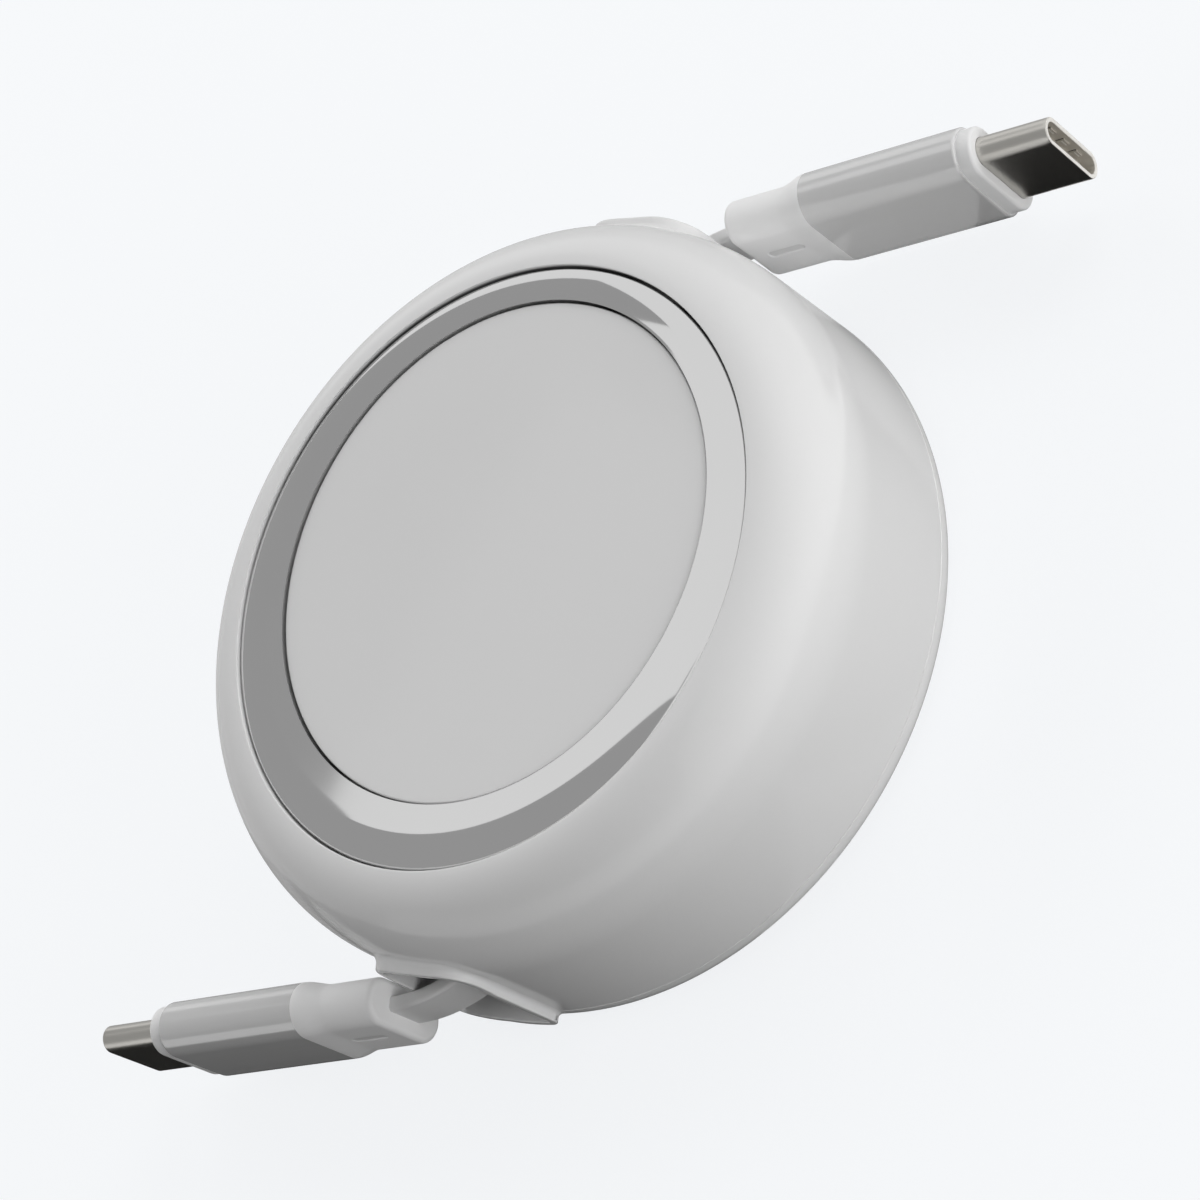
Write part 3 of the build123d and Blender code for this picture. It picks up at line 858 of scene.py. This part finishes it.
def satin(name, colour, roughness):
    """A satin metal lacquer: part metal and part paint, with faint drawn lines in its gloss and colour."""
    material, place = new_finish(name, metallic=0.26)
    lines = drawn_lines(place, along=90.0, across=2400.0)
    tint = uneven(lines, colour, darker=0.985, lighter=1.015)
    return feed(material, {"Base Color": tint, "Roughness": uneven_gloss(lines, roughness, swing=0.03)})


tube_x = np.linspace(boot_front + sleeve_step, sleeve_front - sleeve_step, 12)
front_x, front_in = rounded_end(sleeve_front - sleeve_edge, sleeve_edge, 6, 1)
sleeve_x = np.concatenate([
    [boot_front - sleeve_lap, boot_front + sleeve_start],
    tube_x,
    front_x,
    [sleeve_front, sleeve_front - sleeve_return],
])
sleeve_in = np.concatenate([np.zeros(2 + len(tube_x)), front_in, [sleeve_wall, sleeve_wall]])
sleeve_points = oval_skin(sleeve_x, sleeve_size, sleeve_in)
satin_metal = satin("satin_sleeve", (0.70, 0.70, 0.70), roughness=0.13)
for side, turn in both_sides:
    sleeve = skin("sleeve_tube_" + side, sleeve_points * turn)
    dress(sleeve, satin_metal, "plug_" + side, "satin_metal", "sleeve_" + side)


# The collars.
# A white moulded collar closes the sleeve: a smaller oval nose with a rounded front edge, standing on the
# sleeve's rim and gripping the shell.
collar_front = 39.35
collar_size = np.array([10.1, 4.3])
grip_size = np.array([8.3, 2.45])
collar_round = 0.3
collar_side = sleeve_front + np.array([-0.6, 0.0, 0.3, 0.7])
nose_x, nose_in = rounded_end(collar_front - collar_round, collar_round, 9, 1)
collar_x = np.concatenate([collar_side, nose_x, [collar_front]])
collar_in = np.concatenate([np.zeros(len(collar_side)), nose_in, [0]])
collar_sizes = np.tile(collar_size, (len(collar_x), 1))
collar_sizes[-1] = grip_size
collar_points = oval_skin(collar_x, collar_sizes, collar_in)
for side, turn in both_sides:
    collar = skin("collar_moulding_" + side, collar_points * turn)
    dress(collar, soft_white, "plug_" + side, "soft_white", "collar_" + side)


# The plug shells.
# Each plug's shell is deep drawn from steel, nickel plated and polished, and gripped by the collar. It is
# open at the tip, with a finely rounded rim in a lighter nickel that is a painted highlight, and a duller
# wall inside the mouth.
plug_tip = 45.75
shell_size = np.array([8.25, 2.4])
shell_wall = 0.4
shell_tail = 1.0
shell_step = 0.5
tip_round = 0.08
rim_depth = np.array([0.0, 0.0, 0.02, 0.08])
rim_in = np.array([tip_round, shell_wall - 0.06, shell_wall - 0.01, shell_wall])
mouth_depth = 2.5
side_x = np.linspace(collar_front, plug_tip - shell_step, 10)
tip_x, tip_in = rounded_end(plug_tip - tip_round, tip_round, 7, 1)
plug_x = np.concatenate([[collar_front - shell_tail], side_x, tip_x])
plug_in = np.concatenate([np.zeros(1 + len(side_x)), tip_in])
mouth_x = np.linspace(plug_tip - rim_depth[-1], plug_tip - mouth_depth, 8)
plug_points = oval_skin(plug_x, shell_size, plug_in)
rim_points = oval_skin(plug_tip - rim_depth, shell_size, rim_in)
mouth_points = oval_skin(mouth_x, shell_size, np.full(len(mouth_x), shell_wall))
nickel = polished("nickel_shell", (0.61, 0.595, 0.56), roughness=0.28)
# A lighter copy of the nickel for the rim and the spring tabs: a painted highlight.
painted_highlight_nickel = satin("painted_highlight_nickel", (0.80, 0.78, 0.735), roughness=0.3)
dull_nickel = satin("dull_nickel", (0.54, 0.51, 0.455), roughness=0.4)
for side, turn in both_sides:
    shell = skin("plug_shell_drawn_" + side, plug_points * turn)
    dress(shell, nickel, "plug_" + side, "nickel", "plug_shell_" + side)
    dress(skin("plug_rim_" + side, rim_points * turn), painted_highlight_nickel, "plug_" + side, "nickel")
    dress(skin("plug_mouth_" + side, mouth_points * turn), dull_nickel, "plug_" + side, "nickel")


# The spring tabs.
# Three grounding tabs on each long side of the mouth, cut out of the sheet by a fine slit and bent a little
# inward, so that they press on the socket.
tab_count = 3
tab_pitch = 2.0
tab_size = np.array([0.75, 0.9])
tab_rise = 0.16
tab_lift = 0.01
tip_fall, side_fall = 0.1, 0.12
slit_width = 0.09
slit_lift = 0.015
tab_setback = 0.62
tab_front = plug_tip - tab_setback
tab_rear = tab_front - tab_size[0]
mouth_half = shell_size[1] / 2 - shell_wall


def tab_surface(middle, wall_side):
    """One tab: a small plate that leaves the wall at its rear and rises toward the tip, with rounded edges.

    Its height off the wall grows with the square root of the distance from its rear edge and drops to the
    wall over about its last tenth, at the tip and at both sides.
    """
    along, over = np.meshgrid(np.linspace(0, 1, 21), np.linspace(-1, 1, 21), indexing="ij")
    edge = np.minimum(np.clip((1 - along) / tip_fall, 0, 1), np.clip((1 - np.abs(over)) / side_fall, 0, 1))
    rise = tab_rise * np.sqrt(along) * np.sqrt(edge)
    x = tab_front - tab_size[0] * (1 - along)
    y = plug_offset + wall_side * (mouth_half - tab_lift - rise)
    return np.stack([x, y, cable_height + middle + over * tab_size[1] / 2], axis=-1)


def slit_surface(middle, wall_side):
    """The slit round a tab's tip and its upper side.

    It is a thin flat ribbon just off the wall, bent at a corner, coloured black as painted shade for the gap.
    """
    low, high = cable_height + middle - tab_size[1] / 2, cable_height + middle + tab_size[1] / 2
    slit_front, slit_high = tab_front + slit_width, high + slit_width
    inner = np.array([[tab_rear, high], [tab_front, high], [tab_front, low]])
    outer = np.array([[tab_rear, slit_high], [slit_front, slit_high], [slit_front, low]])
    flat = np.stack([inner, outer])
    y = np.full(flat.shape[:2], plug_offset + wall_side * (mouth_half - slit_lift))
    return np.stack([flat[..., 0], y, flat[..., 1]], axis=-1)


# The slits are near-black ribbons of painted shade, standing for the dark gap round each tab.
slit_painted_shade = moulded("slit_painted_shade", (0.02, 0.02, 0.018), roughness=0.6, grain=0.2)
for side, turn in both_sides:
    for wall_name, wall_side in (("far", 1), ("near", -1)):
        for k in range(tab_count):
            middle = (k - (tab_count - 1) / 2) * tab_pitch
            name = f"_{side}_{wall_name}_{k}"
            tab_points = tab_surface(middle, wall_side)[:, ::wall_side]
            slit_points = slit_surface(middle, wall_side)[:, ::-wall_side]
            tab = skin("spring_tab" + name, tab_points * turn, closed=False)
            slit = skin("tab_slit" + name, slit_points * turn, closed=False)
            # The tabs take the lighter nickel as a painted highlight.
            dress(tab, painted_highlight_nickel, "plug_" + side, "nickel")
            dress(slit, slit_painted_shade, "plug_" + side, "dark_plastic")


# The plug's inside.
# A moulded insulator with two rows of plated contacts behind the shell's mouth, and behind it the core that
# fills the sleeve and the small circuit card.
insulator_plastic = moulded("insulator_plastic", (0.42, 0.39, 0.34), roughness=0.45, grain=0.2)
contact_plate = plain_metal("contact_plate", (0.80, 0.62, 0.30), roughness=0.25)
card_coat = moulded("card_coat", (0.06, 0.25, 0.12), roughness=0.3, grain=0.2)
for side in ("a", "b"):
    repaint(insulator_plastic, "insulator_" + side)
    repaint(contact_plate, "contacts_" + side)
    repaint(dull_nickel, "ground_springs_" + side)
    repaint(natural_plastic, "inner_mould_" + side)
    repaint(card_coat, "paddle_card_" + side)
